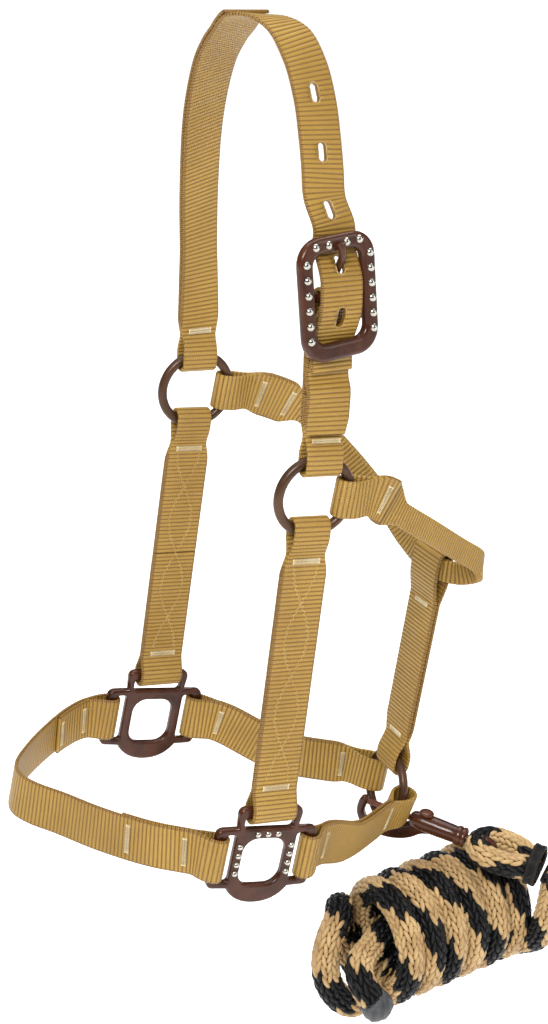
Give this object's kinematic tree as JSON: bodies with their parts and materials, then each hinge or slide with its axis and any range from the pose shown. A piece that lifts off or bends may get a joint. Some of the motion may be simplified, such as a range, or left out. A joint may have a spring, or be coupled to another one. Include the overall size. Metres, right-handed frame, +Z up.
{
  "type": "horse halter",
  "caption": "Tan webbing horse halter with rings, cast squares and a crown buckle, and a braided two-colour lead rope clipped to the chin ring and wound in a hank.",
  "frame": {"origin": "underside of the crown strap where it lies behind the horse's ears, in the middle of the head", "axes": "+X back from the nose, -Y to the near side with the buckle, +Z up"},
  "size_m": [0.3102, 0.1797, 0.5831],
  "materials": {
    "webbing": "ribbed woven nylon, golden tan",
    "brown_cast": "glossy dark brown",
    "ring_wire": "antique brown plating",
    "stud": "bright nickel",
    "spring": "plain",
    "clamp": "dark, satin",
    "rope": "braided beige and black"
  },
  "bodies": {
    "upper_halter": {"crown_strap": "webbing", "buckle_strap": "webbing"},
    "lower_halter": {"near_cheek_strap": "webbing", "far_cheek_strap": "webbing", "near_square": "brown_cast", "far_square": "brown_cast", "noseband": "webbing", "near_chin_strap": "webbing", "far_chin_strap": "webbing", "jaw_strap": "webbing", "throat_latch": "webbing", "snap_body": "brown_cast", "snap_spring": "spring", "lead_rope": "rope", "rope_hank": "rope"},
    "near_cheek_ring": {"near_ring": "ring_wire"},
    "far_cheek_ring": {"far_ring": "ring_wire"},
    "jaw_ring": {"chin_ring": "ring_wire"},
    "buckle": {"buckle_frame": "brown_cast", "buckle_stud_01": "stud", "buckle_stud_02": "stud", "buckle_stud_03": "stud", "buckle_stud_04": "stud", "buckle_stud_05": "stud", "buckle_stud_06": "stud", "buckle_stud_07": "stud", "buckle_stud_08": "stud", "buckle_stud_09": "stud", "buckle_stud_10": "stud", "buckle_stud_11": "stud", "buckle_stud_12": "stud", "buckle_stud_13": "stud", "buckle_stud_14": "stud", "buckle_stud_15": "stud", "buckle_stud_16": "stud"},
    "tongue": {"buckle_tongue": "brown_cast"},
    "snap_plunger": {"snap_bolt": "brown_cast", "snap_knob": "brown_cast"},
    "rope_swivel": {"swivel_eye": "brown_cast", "rope_eye_loop": "rope", "rope_clamp": "clamp"}
  },
  "joints": [
    {"name": "cheek_swing", "type": "hinge", "parent": "upper_halter", "child": "lower_halter", "pos_m": [0, 0, -0.226], "axis": [0, 1, 0], "range_deg": [-8, 25]},
    {"name": "near_ring_spin", "type": "hinge", "parent": "upper_halter", "child": "near_cheek_ring", "pos_m": [0, -0.079, -0.226], "axis": [0, 1, 0], "continuous": true},
    {"name": "far_ring_spin", "type": "hinge", "parent": "upper_halter", "child": "far_cheek_ring", "pos_m": [0, 0.079, -0.226], "axis": [0, 1, 0], "continuous": true},
    {"name": "chin_ring_spin", "type": "hinge", "parent": "lower_halter", "child": "jaw_ring", "pos_m": [0.08538, 0, -0.46177], "axis": [0.9781, 0, -0.2079], "continuous": true},
    {"name": "buckle_rock", "type": "hinge", "parent": "upper_halter", "child": "buckle", "pos_m": [0.01333, -0.07018, -0.12346], "axis": [0.9749, 0.1877, -0.1196], "range_deg": [-1, 1]},
    {"name": "tongue_lift", "type": "hinge", "parent": "buckle", "child": "tongue", "pos_m": [0.01333, -0.07018, -0.12346], "axis": [0.9749, 0.1877, -0.1196], "range_deg": [0, 4]},
    {"name": "snap_swivel", "type": "hinge", "parent": "lower_halter", "child": "rope_swivel", "pos_m": [0.0826, 0.0014, -0.4762], "axis": [0.6786, -0.7126, -0.1782], "continuous": true},
    {"name": "snap_bolt_slide", "type": "slide", "parent": "lower_halter", "child": "snap_plunger", "axis": [0.6786, -0.7126, -0.1782], "range_m": [0, 0.009], "stiffness_N_per_m": 250, "springref_m": -0.015, "deforming": ["snap_spring"]}
  ]
}
